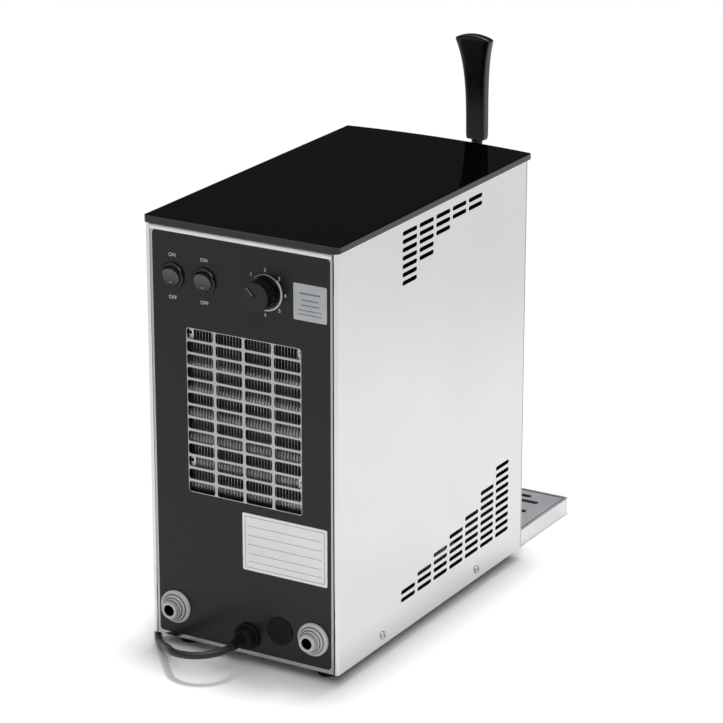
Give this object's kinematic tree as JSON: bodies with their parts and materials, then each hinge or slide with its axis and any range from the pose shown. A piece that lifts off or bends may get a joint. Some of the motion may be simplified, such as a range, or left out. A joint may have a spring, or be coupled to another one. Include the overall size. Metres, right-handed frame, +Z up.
{
  "type": "beer tap cooler",
  "caption": "Counter-top beer cooler: stainless cabinet with slotted vents, black glass top, lever tap over a drip tray, rear controls, condenser grille and push-fit hose unions.",
  "frame": {"origin": "middle of the outline without the mains lead, on the counter that the feet stand on", "axes": "+X across the cabinet, to the left as seen from behind; +Y to the rear panel; +Z up"},
  "size_m": [0.2928, 0.4862, 0.4422],
  "materials": {
    "stainless": "polished stainless sheet",
    "zinc_sheet": "zinc-plated sheet",
    "foil": "dark grey printed foil, satin",
    "black_glass": "back-painted black glass, polished",
    "rubber": "matt black rubber",
    "steel": "bright steel",
    "black_plastic": "black moulded plastic",
    "handle_black": "black satin moulding",
    "grey_plastic": "grey moulded acetal",
    "chrome": "polished chrome plate",
    "brass": "turned brass",
    "aluminium": "mill finish",
    "copper": "drawn copper tube",
    "white_plastic": "off-white plastic",
    "foam": "rigid foam",
    "black_paint": "black enamel",
    "cord": "black PVC sheath"
  },
  "bodies": {
    "cabinet": {"side_panel_left": "stainless", "side_panel_right": "stainless", "rear_panel": "stainless", "rear_trim": "stainless", "front_panel": "stainless", "base_pan": "zinc_sheet", "top_panel": "zinc_sheet", "fan_shroud": "zinc_sheet", "rear_foil": "foil", "glass_top": "black_glass", "rubber_feet": "rubber", "compressor_grommets": "rubber", "panel_screws": "steel", "plug_pins": "steel", "shank_nut": "steel", "switch_housings": "black_plastic", "blanking_plug": "black_plastic", "cable_gland": "black_plastic", "gland_nut": "black_plastic", "mains_plug": "black_plastic", "fan_motor": "black_plastic", "bulkhead_unions": "grey_plastic", "union_nuts": "grey_plastic", "tap_shank": "chrome", "shank_escutcheon": "chrome", "coupling_nut": "chrome", "tap_body": "chrome", "tap_spout": "chrome", "tap_collar": "chrome", "condenser_fins": "aluminium", "cooling_block": "aluminium", "condenser_tube": "copper", "suction_line": "copper", "discharge_line": "copper", "liquid_line": "copper", "thermostat_body": "white_plastic", "drink_line": "white_plastic", "air_hose": "white_plastic", "insulation": "foam", "compressor": "black_paint", "air_pump": "black_paint", "mains_cord": "cord", "cord_coil": "cord", "cord_tail": "cord", "cord_tie": "cord"},
    "tap_lever": {"tap_lever": "chrome", "tap_handle": "handle_black"},
    "tap_plunger": {"tap_plunger": "brass"},
    "flow_lever": {"flow_lever": "chrome"},
    "flow_cone": {"flow_cone": "brass"},
    "rocker_cooling": {"rocker_cooling": "black_plastic"},
    "rocker_pump": {"rocker_pump": "black_plastic"},
    "thermostat_knob": {"thermostat_knob": "black_plastic", "thermostat_spindle": "steel"},
    "fan": {"fan_rotor": "white_plastic"},
    "collet_drink": {"collet_drink": "grey_plastic"},
    "collet_air": {"collet_air": "grey_plastic"},
    "drip_tray": {"drip_tray": "stainless"},
    "drip_grid": {"drip_grid": "stainless", "grid_rails": "stainless"}
  },
  "joints": [
    {"name": "tap_pull", "type": "hinge", "parent": "cabinet", "child": "tap_lever", "pos_m": [0, -0.1818, 0.318], "axis": [1, 0, 0], "range_deg": [0, 30]},
    {"name": "plunger_slide", "type": "slide", "parent": "cabinet", "child": "tap_plunger", "axis": [0, 1, 0], "range_m": [0, 0.0111]},
    {"name": "flow_turn", "type": "hinge", "parent": "cabinet", "child": "flow_lever", "pos_m": [0, -0.1423, 0.296], "axis": [-1, 0, 0], "range_deg": [0, 90]},
    {"name": "cone_slide", "type": "slide", "parent": "cabinet", "child": "flow_cone", "axis": [0, 1, 0], "range_m": [0, 0.0043]},
    {"name": "cooling_switch", "type": "hinge", "parent": "cabinet", "child": "rocker_cooling", "pos_m": [0.0625, 0.2016, 0.3185], "axis": [1, 0, 0], "range_deg": [0, 20]},
    {"name": "pump_switch", "type": "hinge", "parent": "cabinet", "child": "rocker_pump", "pos_m": [0.033, 0.2016, 0.3185], "axis": [1, 0, 0], "range_deg": [0, 20]},
    {"name": "thermostat_turn", "type": "hinge", "parent": "cabinet", "child": "thermostat_knob", "pos_m": [-0.023, 0.2014, 0.3185], "axis": [0, -1, 0], "range_deg": [0, 270]},
    {"name": "fan_spin", "type": "hinge", "parent": "cabinet", "child": "fan", "pos_m": [-0.002, 0.1656, 0.2088], "axis": [0, 1, 0], "continuous": true},
    {"name": "drink_release", "type": "slide", "parent": "cabinet", "child": "collet_drink", "axis": [0, -1, 0], "range_m": [0, 0.0015]},
    {"name": "air_release", "type": "slide", "parent": "cabinet", "child": "collet_air", "axis": [0, -1, 0], "range_m": [0, 0.0015]},
    {"name": "tray_pull", "type": "slide", "parent": "cabinet", "child": "drip_tray", "axis": [0, -1, 0], "range_m": [0, 0.08]},
    {"name": "grid_lift", "type": "slide", "parent": "drip_tray", "child": "drip_grid", "axis": [0, 0, 1], "range_m": [0, 0.05]}
  ],
  "couplings": [
    {"joint": "plunger_slide", "follows": "tap_pull", "m_per_rad": 0.021},
    {"joint": "cone_slide", "follows": "flow_turn", "m_per_rad": 0.0027}
  ]
}
